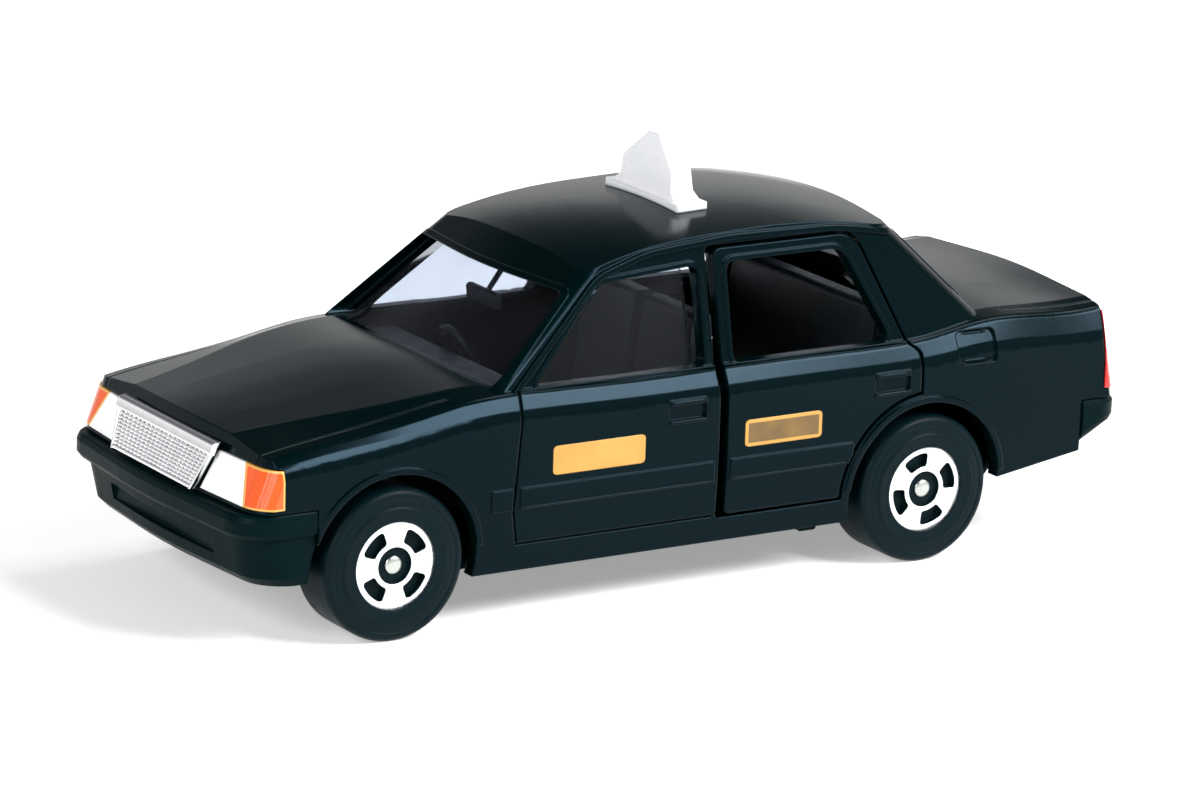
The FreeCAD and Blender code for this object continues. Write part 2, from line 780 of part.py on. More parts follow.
def shell_without_door():
    """The body casting before the door is cut free, with its raised and sunk forms."""
    outer = lower_body(0.0).fuse(cabin(0.0))
    inner = lower_body(-wall).fuse(cabin(-wall))
    below = box(nose_at(5.0) - 60.0, nose_at(12.0) - wall, -sill_y + wall, sill_y - wall, -2.0, 9.0)
    shell = outer.cut(inner.fuse(below.common(ends_solid(-wall))))
    shell = shell.cut([under_cut()] + arch_cuts() + window_cuts())
    trim = side_trim()
    shell = shell.fuse([trim, mirrored(trim)] + cabin_trim())
    return shell.cut(panel_lines() + [plate_recess()])


def body_shell(casting):
    """The die-cast body with its door opening, lamp seats, posts and door hinge lugs."""
    cuts = [door_prism(door_gap, door_hinge_gap, door_inner_y - door_gap, 20.0)]
    for side in (1, -1):
        cuts.append(lamp_space(side, lamp_gap).cut(lower_body(-lamp_depth)))
        cuts.append(tail_lamp_box(side, lamp_gap).cut(lower_body(-lamp_depth)))
    return casting.cut(cuts).fuse([hinge_lugs()] + posts()).cut(hinge_pin_hole()).removeSplitter()


def rear_left_door(casting):
    """The opening door: the piece of the casting inside its outline, with its hinge rod."""
    panel = casting.common(door_prism(0.0, 0.0, door_inner_y, 20.0))
    rod = Part.makeCylinder(hinge_rod_radius, bracket_z - 0.15 - door_sill_z, vec(hinge_x, hinge_y, door_sill_z))
    pin_low = base_low_z + base_thick + 0.15
    pin = Part.makeCylinder(hinge_pin_radius, bracket_z + bracket_height + 0.1 - pin_low,
                            vec(hinge_x, hinge_y, pin_low))
    pocket = Part.makeCylinder(bracket_radius + 0.15, bracket_height + 0.3,
                               vec(hinge_x, hinge_y, bracket_z - 0.15))
    return panel.fuse(rod).cut(pocket).fuse(pin).removeSplitter()


def window_insert():
    """The clear one-piece glazing under the roof, open at the rear left door."""
    outer = cabin(-wall - glass_gap)
    inner = cabin(-wall - glass_gap - glass_thick)
    glazing = outer.cut(inner)
    glazing = glazing.cut(box(-60.0, 60.0, -20.0, 20.0, 0.0, cabin_low_z + 2 * glass_gap))
    return glazing.cut(box(door_belt_back_x - 2.5, door_front_x + 1.6, 6.6, 20.0, 0.0, 40.0))


def wheel(x, side, slot_turn):
    """A one-piece wheel: tyre with a moulded ridge, disc with four slots and a hub that turns on its axle."""
    face = tyre_width
    bore = axle_radius + axle_clearance
    points = [
        (bore, 0.0), (tyre_radius, 0.0),
        (tyre_radius, face - tyre_ridge - tyre_shoulder), (tyre_radius - tyre_shoulder, face - tyre_ridge),
        (tyre_ridge_radius, face - tyre_ridge), (tyre_ridge_radius, face), (disc_radius, face),
        (disc_radius, face - disc_depth), (hub_radius, face - disc_depth), (hub_radius, face - hub_depth),
        (bore, face - hub_depth),
    ]
    wire = Part.makePolygon([vec(r, h, 0) for r, h in points + points[:1]])
    solid = Part.Face(wire).revolve(vec(0, 0, 0), vec(0, 1, 0), 360)
    core = cylinder_y(0.0, 0.0, slot_inner_radius, 0.0, face)
    cuts = []
    for i in range(slot_count):
        slot = Part.makeCylinder(slot_outer_radius, slot_depth + 1.0, vec(0, 0, 0), vec(0, 1, 0), slot_angle)
        slot = slot.cut(core)
        slot.rotate(vec(0, 0, 0), vec(0, 1, 0), slot_turn + 360.0 * i / slot_count)
        slot.translate(vec(0, face - disc_depth - slot_depth, 0))
        cuts.append(slot)
    solid = solid.cut(cuts)
    if side < 0:
        solid.rotate(vec(0, 0, 0), vec(1, 0, 0), 180)
    solid.translate(vec(x, side * (wheel_face_y - tyre_width), tyre_radius))
    return solid


def axle(x):
    """A steel axle pin with a head at each end, outside the wheels' hubs."""
    seat_y = wheel_face_y - hub_depth + 0.05
    pin = cylinder_y(x, tyre_radius, axle_radius, -seat_y, seat_y)
    heads = [cylinder_y(x, tyre_radius, axle_head_radius, seat_y, seat_y + axle_head_length),
             cylinder_y(x, tyre_radius, axle_head_radius, -seat_y - axle_head_length, -seat_y)]
    return pin.fuse(heads).removeSplitter()


def nose_plane_prism(outline, holes, x_back, x_front):
    """A prism over an outline with holes in front view, whose faces lean back with the nose."""
    wires = []
    for points in [outline] + holes:
        corners = [vec(x_back + nose_lean * (nose_z - z), y, z) for y, z in points + points[:1]]
        wires.append(Part.makePolygon(corners))
    return Part.makeFace(wires, "Part::FaceMakerBullseye").extrude(vec(x_front - x_back, 0, 0))


def grille_insert():
    """The chrome grille: a thick-topped frame round a lattice of fine bars, leaning with the nose."""
    taper = (grille_top_y - grille_low_y) / (grille_top_z - grille_low_z)
    low_z = grille_low_z + 0.7 * grille_frame
    high_z = grille_top_z - 1.5 * grille_frame

    def half_width(z):
        return grille_low_y + taper * (z - grille_low_z) - grille_frame

    def window_point(share, z):
        return (share * half_width(z), z)

    outline = [(grille_low_y, grille_low_z), (grille_top_y, grille_top_z),
               (-grille_top_y, grille_top_z), (-grille_low_y, grille_low_z)]
    window = [window_point(1, low_z), window_point(1, high_z), window_point(-1, high_z), window_point(-1, low_z)]
    rise = (high_z - low_z) / (grille_bars_across + 1)
    step = 2.0 / (grille_bars_up + 1)
    cells = []
    for row in range(grille_bars_across + 1):
        z0 = low_z + row * rise + (0.5 * grille_bar if row > 0 else 0.0)
        z1 = low_z + (row + 1) * rise - (0.5 * grille_bar if row < grille_bars_across else 0.0)
        for column in range(grille_bars_up + 1):
            left = -1 + column * step
            trim = 0.5 * grille_bar / half_width(high_z)
            s0 = left + (trim if column > 0 else 0.0)
            s1 = left + step - (trim if column < grille_bars_up else 0.0)
            cells.append([window_point(s0, z0), window_point(s1, z0), window_point(s1, z1), window_point(s0, z1)])
    back = nose_x + 0.05
    plate = nose_plane_prism(outline, [], back, back + 0.15)
    lattice = nose_plane_prism(outline, cells, back + 0.1, back + grille_proud - 0.1)
    frame = nose_plane_prism(outline, [window], back + 0.1, back + grille_proud)
    return plate.fuse([lattice, frame]).removeSplitter()


@lru_cache(None)
def skin(proud, depth):
    """The layer from a little outside the lower body's surface to the given depth inside it."""
    return lower_body(proud).cut(lower_body(-depth))


def front_bumper():
    """The bumper that wraps the nose below the lamps, with its step and its air slot."""
    levels = [(bumper_top_z, -0.5), (bumper_top_z - 0.2, -0.15), (bumper_top_z - 0.55, 0.0),
              (bumper_step_z + 0.35, 0.0), (bumper_step_z, -0.25)]
    lower_levels = [(bumper_step_z, -bumper_step), (bumper_low_z + 0.6, -bumper_step - 0.6),
                    (bumper_low_z, -bumper_step - 1.2)]
    front = car_length / 2
    solids = []
    for group in (levels, lower_levels):
        wires = [plan_outline(z, front + d, tail_x, waist_y - 0.05 + 0.4 * d, waist_y, (nose_bow, tail_bow),
                              corner_round + 0.4) for z, d in group]
        solids.append(Part.makeLoft(wires, True, True))
    block = solids[0].fuse(solids[1])
    hollow_wires = [plan_outline(z, front - bumper_wall - bumper_step, tail_x, waist_y - bumper_wall, waist_y - 1,
                                 (nose_bow, tail_bow), corner_round - 1.0) for z in (bumper_low_z + 0.8, 20.0)]
    block = block.cut(Part.makeLoft(hollow_wires, True, True))
    block = block.common(box(bumper_back_x + bumper_seam, far_front_x, -20, 20, 0, bumper_top_z - bumper_seam))
    slot = box(front - 1.9, far_front_x, -7.4, 7.4, 6.2, 7.4)
    arch = [cylinder_y(front_axle_x, tyre_radius, arch_radius, -20.0, 20.0)]
    return block.cut([slot] + arch)


def rear_bumper():
    """The bumper that wraps the tail: upright behind, with an underside that slants up to its back edge."""
    back = -car_length / 2
    rise = rear_bumper_edge_z - tail_sill_back_z
    levels = [(tail_sill_back_z, rear_bumper_slant, 0.25), (rear_bumper_edge_z - 0.1 * rise, 0.25, 0.0),
              (rear_bumper_edge_z + 0.15, 0.0, 0.0), (rear_bumper_top_z - 0.35, 0.0, 0.0),
              (rear_bumper_top_z, 0.3, 0.15)]
    wires = [plan_outline(z, nose_x, back + forward, waist_y, waist_y - 0.1 - tuck, (nose_bow, tail_bow),
                          corner_round) for z, forward, tuck in levels]
    inner_levels = [(tail_sill_back_z + bumper_floor, rear_bumper_slant), (rear_bumper_edge_z + bumper_floor, 0.0),
                    (rear_bumper_top_z + 1.0, 0.0)]
    inner_wires = [plan_outline(z, nose_x, back + bumper_skin + forward, waist_y, waist_y - bumper_skin,
                                (nose_bow, tail_bow), corner_round - 1.0) for z, forward in inner_levels]
    block = Part.makeLoft(wires, True, True).cut(Part.makeLoft(inner_wires, True, True))
    return block.common(box(far_back_x, rear_bumper_front_x - bumper_seam, -20, 20, 0, 20))


def base_plate():
    """The base: a plate under the car with both bumpers, wheel wells and axle blocks."""
    low = base_low_z
    high = low + base_thick
    profile = [(base_front_x + 2.0, bumper_low_z + 0.1), (base_front_x - 4.0, low), (base_ramp_x, low),
               (base_step_x, base_step_z), (base_tail_x, base_tail_z), (base_tail_x, base_tail_z + base_thick),
               (base_step_x, base_step_z + base_thick), (base_ramp_x, high),
               (base_front_x - 4.0, high), (base_front_x + 2.0, bumper_low_z + 0.1 + base_thick)]
    wire = Part.makePolygon([vec(x, -base_half_width, z) for x, z in profile + profile[:1]])
    plate = Part.Face(wire).extrude(vec(0, 2 * base_half_width, 0))
    pieces = [front_bumper(), rear_bumper()]
    for x in (front_axle_x, rear_axle_x):
        pieces.append(box(x - axle_block_length / 2, x + axle_block_length / 2, -axle_block_half_width,
                          axle_block_half_width, low, tyre_radius + 1.3))
    for x, pad_low in post_places():
        pieces.append(Part.makeCylinder(pad_radius, pad_thick, vec(x, 0, pad_low)))
    plate = plate.fuse(pieces)
    cuts = []
    for x in (front_axle_x, rear_axle_x):
        cuts.append(cylinder_y(x, tyre_radius, arch_radius, arch_inner_y, 20.0))
        cuts.append(cylinder_y(x, tyre_radius, arch_radius, -20.0, -arch_inner_y))
        cuts.append(cylinder_y(x, tyre_radius, axle_radius + 0.02, -20.0, 20.0))
    for x, pad_low in post_places():
        cuts.append(Part.makeCylinder(post_neck_radius + rivet_clearance, 20.0, vec(x, 0, 0)))
        cuts.append(Part.makeCylinder(rivet_radius + rivet_clearance, rivet_thick + rivet_clearance,
                                      vec(x, 0, pad_low)))
        cuts.append(Part.makeCylinder(pad_radius, pad_low, vec(x, 0, 0)))
        cuts.append(Part.makeCylinder(post_radius + rivet_clearance, 20.0, vec(x, 0, pad_low + pad_thick)))
    return plate.cut(cuts).removeSplitter()


def seat(x, y, width, depth, back_x, back_z):
    """A seat: a cushion and a leaning back with round edges."""
    floor = base_low_z + base_thick + 0.05 + tray_thick
    cushion = box(back_x, x + depth / 2, y - width / 2, y + width / 2, floor - 0.1, seat_cushion_z)
    back = side_prism([(back_x, floor), (back_x + seat_back_thick, floor),
                       (back_x + seat_back_thick - 1.5, back_z), (back_x - 1.5, back_z)],
                      [0.2, 0.2, 0.6, 0.6], y - width / 2, y + width / 2)
    return cushion.fuse(back)


def interior_tray():
    """The moulded interior: floor, two front seats, rear bench, dashboard and steering wheel."""
    low = base_low_z + base_thick + 0.05
    floor = box(rear_seat_x - 3.0, dash_front_x - 1.9, -tray_half_width, tray_half_width, low, low + tray_thick)
    y = seat_width / 2 + seat_gap / 2
    front_back_x = front_seat_x - front_seat_depth / 2
    parts = [seat(front_seat_x, y, seat_width, front_seat_depth, front_back_x, seat_back_z),
             seat(front_seat_x, -y, seat_width, front_seat_depth, front_back_x, seat_back_z)]
    arch_clear = arch_radius + 0.3
    bench = box(rear_seat_back_x + 0.5, rear_seat_x + 1.5, -tray_half_width, tray_half_width, low,
                seat_cushion_z)
    bench_back = side_prism([(rear_seat_back_x, seat_cushion_z - 1.0),
                             (rear_seat_back_x + 2.2, seat_cushion_z - 1.0),
                             (rear_seat_back_x + 0.6, rear_seat_back_z), (rear_seat_back_x - 1.2, rear_seat_back_z)],
                            [0.2, 0.2, 0.6, 0.5], -tray_half_width, tray_half_width)
    dash = side_prism([(dash_back_x, low + 5.0), (dash_front_x, low + 3.0), (dash_front_x, dash_z),
                       (dash_back_x + 0.6, dash_z)], [0.3, 0.3, 0.5, 0.6], -tray_half_width, tray_half_width)
    pedestal = box(dash_back_x + 1.0, dash_front_x - 2.0, -tray_half_width, tray_half_width, low, dash_z - 1.0)
    rim = [vec(wheel_ring_radius + wheel_ring_tube * cos(radians(a)), 0, wheel_ring_tube * sin(radians(a)))
           for a in range(0, 361, 60)]
    ring = Part.Face(Part.makePolygon(rim)).revolve(vec(0, 0, 0), vec(0, 0, 1), 360)
    column = Part.makeCylinder(0.35, 2.6, vec(0, 0, -2.4), vec(0, 0, 1))
    spokes = box(-wheel_ring_radius, wheel_ring_radius, -0.35, 0.35, -0.15, 0.15)
    helm = ring.fuse([column, spokes])
    helm.rotate(vec(0, 0, 0), vec(0, 1, 0), -62)
    helm.translate(vec(dash_back_x - 1.3, -y, dash_z - 0.9))
    tray = floor.fuse(parts + [bench, bench_back, dash, pedestal, helm])
    cuts = [cylinder_y(rear_axle_x, tyre_radius, arch_clear, arch_inner_y - 0.6, 20.0),
            cylinder_y(rear_axle_x, tyre_radius, arch_clear, -20.0, -arch_inner_y + 0.6),
            box(rear_axle_x - axle_block_length, rear_axle_x + axle_block_length, -20, 20, 0, tyre_radius + 1.6)]
    return tray.cut(cuts).removeSplitter()


def rear_view_mirror():
    """The mirror that hangs behind the windscreen's top edge."""
    stem = Part.makeCylinder(0.2, 3.4, vec(mirror_x, 0, mirror_z), vec(-mirror_lean, 0, 1))
    glass = side_prism([(mirror_x - 0.3, mirror_z - 0.5), (mirror_x + 0.3, mirror_z - 0.5),
                        (mirror_x + 0.4, mirror_z + 0.6), (mirror_x - 0.2, mirror_z + 0.6)],
                       [0.1] * 4, -mirror_half, mirror_half)
    room = cabin(-wall - glass_gap - glass_thick)
    return stem.fuse(glass).common(room).removeSplitter()


def roof_sign():
    """The blank roof sign: a thick foot on the roof, a flared neck, a plain body and a ridged top."""
    half_x = sign_base_length / 2
    levels = [[(sign_foot_z - 2.0, half_x, sign_base_half), (sign_foot_z, half_x - 0.05, sign_base_half - 0.05)],
              [(sign_foot_z, half_x - 0.25, sign_base_half - 0.6), (sign_neck_z, half_x - 0.4, sign_neck_half),
               (sign_shoulder_z, half_x - 0.5, sign_body_half), (sign_top_z, 0.35, sign_top_half)]]
    solids = []
    for group in levels:
        wires = []
        for z, x, y in group:
            corners = [(sign_x - x, -y), (sign_x + x, -y), (sign_x + x, y), (sign_x - x, y)]
            wires.append(rounded_wire(corners, [sign_corner] * 4, lambda a, b, z=z: vec(a, b, z)))
        solids.append(Part.makeLoft(wires, True, True))
    return solids[0].fuse(solids[1]).cut(cabin(0.02)).removeSplitter()


def front_lamps(side):
    """One headlamp and one corner indicator."""
    lamp = skin(lamp_proud, lamp_depth - lamp_gap).common(lamp_space(side, 0.0))
    ys = sorted((side * lamp_split_y, side * 20.0))
    outer = box(0.0, far_front_x, ys[0], ys[1], 0.0, 20.0)
    ys = sorted((side * (lamp_split_y - lamp_gap), side * 20.0))
    return lamp.cut(box(0.0, far_front_x, ys[0], ys[1], 0.0, 20.0)), lamp.common(outer)


def tail_lamp(side):
    return skin(lamp_proud, lamp_depth - lamp_gap).common(tail_lamp_box(side, 0.0))


def save(name, shape):
    solids = shape.Solids
    if len(solids) == 1:
        shape = solids[0]
    print(name, "solids", len(solids), "valid", shape.isValid(), "volume", round(shape.Volume, 2))
    shape.exportStep("parts/" + name + ".step")


def main():
    os.makedirs("parts", exist_ok=True)
    casting = shell_without_door()
    save("body_shell", body_shell(casting))
    save("rear_left_door", rear_left_door(casting))
    save("window_insert", window_insert())
    save("interior_tray", interior_tray())
    save("rear_view_mirror", rear_view_mirror())
    save("grille_insert", grille_insert())
    save("roof_sign", roof_sign())
    save("base_plate", base_plate())
    for name, side in (("left", 1), ("right", -1)):
        headlamp, indicator = front_lamps(side)
        save("headlamp_" + name, headlamp)
        save("indicator_" + name, indicator)
        save("tail_lamp_" + name, tail_lamp(side))
        save("wheel_front_" + name, wheel(front_axle_x, side, front_slot_turn))
        save("wheel_rear_" + name, wheel(rear_axle_x, side, rear_slot_turn))
    save("front_axle", axle(front_axle_x))
    save("rear_axle", axle(rear_axle_x))


main()
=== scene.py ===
import bmesh
import bpy
from math import radians, sin, cos, pi, sqrt
from mathutils import Matrix, Vector
from mathutils.bvhtree import BVHTree


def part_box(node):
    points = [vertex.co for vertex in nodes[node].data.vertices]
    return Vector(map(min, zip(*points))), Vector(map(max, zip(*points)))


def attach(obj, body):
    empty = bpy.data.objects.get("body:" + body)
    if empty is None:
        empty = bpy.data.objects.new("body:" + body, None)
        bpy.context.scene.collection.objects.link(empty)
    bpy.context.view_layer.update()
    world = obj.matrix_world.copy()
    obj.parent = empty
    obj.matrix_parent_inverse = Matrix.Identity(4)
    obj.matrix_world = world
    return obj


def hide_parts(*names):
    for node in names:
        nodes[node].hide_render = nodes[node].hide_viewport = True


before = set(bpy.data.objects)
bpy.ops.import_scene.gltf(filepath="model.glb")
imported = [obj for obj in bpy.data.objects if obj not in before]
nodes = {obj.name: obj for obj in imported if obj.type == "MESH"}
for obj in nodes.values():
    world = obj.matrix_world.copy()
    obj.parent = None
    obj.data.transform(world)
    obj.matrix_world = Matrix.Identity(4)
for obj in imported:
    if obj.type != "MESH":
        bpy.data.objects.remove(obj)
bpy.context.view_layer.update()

# A pocket-size die-cast taxi saloon on a white table. Blender works in metres, and MM is one millimetre.
MM = 0.001

# The camera stands where the photograph was taken from
camera_azimuth = radians(147.79)
camera_elevation = radians(15.125)
camera_roll = radians(1.846)
camera_distance = 425.06 * MM
camera_target = Vector((-0.172, -0.799, 10.776)) * MM
camera_lens = 177.94

# Wheels, in millimetres, as in the model
front_axle_x = 24.6
rear_axle_x = -19.05
tyre_radius = 5.42
tyre_width = 4.3
wheel_face_y = 13.35
tyre_shoulder = 0.55
tyre_ridge_radius = 4.05
tyre_ridge = 0.12
tyre_back_chamfer = 0.1
groove_from_ridge = (0.75, 0.68, 0.6)
groove_depth = 0.05
ridge_foot = 0.1
ridge_crest = 0.12
ridge_inner = 0.3
disc_radius = 3.09
disc_depth = 0.22
disc_edge = 0.03
slot_inner_radius = 1.63
slot_outer_radius = 2.7
slot_angle = 49.0
slot_round = 0.26
slot_depth = 0.5
front_slot_turn = 45.0
rear_slot_turn = 71.0
hub_radius = 1.3
hub_depth = 0.55
pin_radius = 0.55
pin_bore = 0.61
pin_head_radius = 0.66
pin_head_rim = 0.06
pin_head_gap = 0.02
wheel_steps = 120

# Grille, in millimetres, on the leaning nose
nose_x = 36.1
nose_z = 10.34
nose_lean = 0.383
grille_low_z = 10.4
grille_top_z = 13.8
grille_low_y = 5.85
grille_top_y = 7.0
grille_back_low = 0.05
grille_back_top = 0.18
grille_foot = 0.14
grille_bars = 9
grille_bar_size = (0.105, 0.3)
grille_bar_inset = 0.2
grille_uprights = 20
grille_upright_size = (0.07, 0.22)
grille_upright_inset = 0.3
grille_upright_low = 0.2
grille_upright_top = 0.5
grille_side_size = (0.16, 0.36)
grille_low_bar_depth = 0.34
grille_top_bar_size = (0.48, 0.42)

# Front lenses, in millimetres: where they end, how far out they turn amber at bottom and top, and the width
# of the gold rim painted as a highlight round the amber
lamp_low_z = 10.45
lamp_high_z = 13.1
lamp_back_x = 33.3
amber_low_y = 11.4
amber_high_y = 10.05
highlight_rim_width = 0.13

# Printed plates on the left doors, in millimetres: rear and front ends, bottom and top
front_plate = (4.86, 12.33, 10.33, 12.4)
rear_plate = (-9.85, -3.4, 10.45, 12.4)
plate_round = 0.3
plate_border = 0.26
plate_proud = 0.025
plate_columns = 16
plate_rows = 6
plate_corner_rows = (0.0, 0.08, 0.16)

# Beads on raised edges, in millimetres: rear and front ends, heights and radii
front_strip_x = (-0.8, 14.8)
rear_strip_x = (-12.5, -2.35)
strip_edges_z = (("low", 8.32), ("high", 9.63))
strip_bead = 0.09
front_handle_x = (0.05, 2.75)
rear_handle_x = (-17.2, -14.5)
handle_edges_z = (("low", 12.92), ("high", 14.3))
front_handle_bead = 0.15
rear_handle_bead = 0.12
flap_low_edge = (-24.5, -22.0, 14.5)
flap_high_edge = (-24.3, -22.2, 16.35)
flap_low_bead = 0.16
flap_high_bead = 0.12
bead_sunk = 0.3
bead_points = 10

# Rays for finding the sides start this far out, and beads stay inside the model's own reach, in millimetres
ray_start_y = 20.0
side_reach = 13.43

# Brightness of the backdrop by the sine of its height over the horizon
backdrop = ((0.0, 0.6), (0.22, 1.0), (0.28, 0.95), (0.33, 0.6), (0.42, 0.27), (0.5, 0.15), (0.6, 0.05))

# The small tab under the left sill
tab_x = -9.45
tab_y = 12.25
tab_length = 1.5
tab_half_thickness = 0.3
tab_round = 0.2
tab_low_z = 3.4
tab_high_z = 3.8

# The table, half its size in metres, and the even light; a brightness of 1 is white
table_half_size = 1.6
table_white = 0.93
table_lift = 0.34
even_light = 0.25

# Lamps that face the car: name, direction, distance and size in metres, and brightness, where 1 is white
lamps = (
    ("softbox_left", (-0.45, 0.62, 0.62), 0.6, (0.3, 0.21), 27.0),
    ("softbox_top", (-0.53, -0.02, 0.85), 0.6, (0.24, 0.24), 5.5),
    ("softbox_front", (0.85, 0.35, 0.5), 0.7, (0.3, 0.3), 11.0),
)


def node_tree(name):
    """A new material with its output node and a Principled shader."""
    material = bpy.data.materials.new(name)
    material.use_nodes = True
    tree = material.node_tree
    tree.nodes.clear()
    output = tree.nodes.new("ShaderNodeOutputMaterial")
    shader = tree.nodes.new("ShaderNodeBsdfPrincipled")
    tree.links.new(shader.outputs["BSDF"], output.inputs["Surface"])
    return material, tree, shader


def object_coords(tree):
    """The place on the object, in metres, as a vector socket."""
    return tree.nodes.new("ShaderNodeTexCoord").outputs["Object"]


def split_coords(tree):
    """The sockets X, Y and Z of the place on the object, in metres."""
    split = tree.nodes.new("ShaderNodeSeparateXYZ")
    tree.links.new(object_coords(tree), split.inputs[0])
    return split.outputs


def noise(tree, scale, detail=3.0):
    """A noise texture in object space; scale is in cycles per millimetre."""
    texture = tree.nodes.new("ShaderNodeTexNoise")
    texture.inputs["Scale"].default_value = scale / MM
    texture.inputs["Detail"].default_value = detail
    tree.links.new(object_coords(tree), texture.inputs["Vector"])
    return texture.outputs["Fac"]


def remap(tree, value, from_low, from_high, low, high):
    """Turns a value between from_low and from_high into the range from low to high."""
    node = tree.nodes.new("ShaderNodeMapRange")
    node.inputs["From Min"].default_value = from_low
    node.inputs["From Max"].default_value = from_high
    node.inputs["To Min"].default_value = low
    node.inputs["To Max"].default_value = high
    tree.links.new(value, node.inputs["Value"])
    return node.outputs["Result"]


def spread(tree, value, low, high):
    """Turns the middle of a noise's range into the range from low to high."""
    return remap(tree, value, 0.25, 0.75, low, high)


def blend_colours(tree, factor, first, second):
    """Mixes two colours, or colour sockets, by a factor socket."""
    node = tree.nodes.new("ShaderNodeMix")
    node.data_type = "RGBA"
    tree.links.new(factor, node.inputs["Factor"])
    for name, colour in (("A", first), ("B", second)):
        socket = [s for s in node.inputs if s.name == name and s.type == "RGBA"][0]
        if isinstance(colour, tuple):
            socket.default_value = (*colour, 1.0)
        else:
            tree.links.new(colour, socket)
    return [s for s in node.outputs if s.type == "RGBA"][0]


def math_node(tree, operation, first, second=0.0):
    """A sum, product or test of two numbers or sockets."""
    node = tree.nodes.new("ShaderNodeMath")
    node.operation = operation
    for i, value in enumerate((first, second)):
        if isinstance(value, (int, float)):
            node.inputs[i].default_value = value
        else:
            tree.links.new(value, node.inputs[i])
    return node.outputs[0]


def rounded_normal(tree, radius):
    """The surface normal with edges rounded off over a radius in millimetres."""
    node = tree.nodes.new("ShaderNodeBevel")
    node.samples = 8
    node.inputs["Radius"].default_value = radius * MM
    return node.outputs["Normal"]


def relief(tree, shader, height, depth, strength, edge=0.0):
    """Bump of a depth in millimetres, over edges rounded off by the radius given, in millimetres."""
    node = tree.nodes.new("ShaderNodeBump")
    node.inputs["Distance"].default_value = depth * MM
    node.inputs["Strength"].default_value = strength
    tree.links.new(height, node.inputs["Height"])
    if edge > 0.0:
        tree.links.new(rounded_normal(tree, edge), node.inputs["Normal"])
    tree.links.new(node.outputs["Normal"], shader.inputs["Normal"])


def painted(name, colour, tint, gloss, specular, sheen_tint):
    """Enamel over cast metal: a faint orange peel, slightly uneven gloss and edges softened by the paint."""
    material, tree, shader = node_tree(name)
    base = blend_colours(tree, spread(tree, noise(tree, 0.08), 0.0, 1.0), colour, tint)
    tree.links.new(base, shader.inputs["Base Color"])
    tree.links.new(spread(tree, noise(tree, 0.6), gloss * 0.9, gloss * 1.12), shader.inputs["Roughness"])
    shader.inputs["Specular IOR Level"].default_value = specular
    shader.inputs["Specular Tint"].default_value = (*sheen_tint, 1.0)
    relief(tree, shader, noise(tree, 1.3, 2.0), 0.003, 0.4, 0.16)
    return material


def moulded(name, colour, tint, rough, specular=0.5, grain=4.0, depth=0.004, edge=0.12):
    """Moulded plastic: fine grain, soft gloss and a little unevenness of colour."""
    material, tree, shader = node_tree(name)
    base = blend_colours(tree, spread(tree, noise(tree, 0.5), 0.0, 1.0), colour, tint)
    tree.links.new(base, shader.inputs["Base Color"])
    tree.links.new(spread(tree, noise(tree, 1.1), rough * 0.85, rough * 1.2), shader.inputs["Roughness"])
    shader.inputs["Specular IOR Level"].default_value = specular
    relief(tree, shader, noise(tree, grain, 3.0), depth, 0.6, edge)
    return material


def plated(name, colour, rough):
    """Bright vacuum plating or bare steel."""
    material, tree, shader = node_tree(name)
    base = blend_colours(tree, spread(tree, noise(tree, 0.9), 0.0, 1.0), colour,
                         tuple(0.92 * c for c in colour))
    tree.links.new(base, shader.inputs["Base Color"])
    tree.links.new(spread(tree, noise(tree, 2.0), rough * 0.7, rough * 1.3), shader.inputs["Roughness"])
    shader.inputs["Metallic"].default_value = 1.0
    relief(tree, shader, noise(tree, 3.0), 0.002, 0.4, 0.05)
    return material


def clear_plastic(name, colour, rough, ior, clarity):
    """Clear moulding with a faint waviness and, below full clarity, a little haze."""
    material, tree, shader = node_tree(name)
    base = blend_colours(tree, spread(tree, noise(tree, 0.2), 0.0, 1.0), colour,
                         tuple(0.96 * c for c in colour))
    tree.links.new(base, shader.inputs["Base Color"])
    tree.links.new(spread(tree, noise(tree, 0.7), rough * 0.7, rough * 1.3), shader.inputs["Roughness"])
    shader.inputs["Transmission Weight"].default_value = clarity
    shader.inputs["IOR"].default_value = ior
    relief(tree, shader, noise(tree, 0.35, 2.0), 0.004, 0.4)
    return material


def flutes(tree, coordinate, pitch):
    """A wave between 0 and 1 along a coordinate, with its pitch in millimetres."""
    wave = math_node(tree, "SINE", math_node(tree, "MULTIPLY", coordinate, 2.0 * pi / (pitch * MM)))
    return math_node(tree, "ADD", math_node(tree, "MULTIPLY", wave, 0.5), 0.5)


def lens(name, colour, tint, rough, pitch, depth):
    """A lamp lens with ribs one above the other."""
    material, tree, shader = node_tree(name)
    base = blend_colours(tree, spread(tree, noise(tree, 0.9), 0.0, 1.0), colour, tint)
    tree.links.new(base, shader.inputs["Base Color"])
    tree.links.new(spread(tree, noise(tree, 1.4), rough * 0.8, rough * 1.3), shader.inputs["Roughness"])
    relief(tree, shader, flutes(tree, split_coords(tree)["Z"], pitch), depth, 0.8, 0.12)
    return material


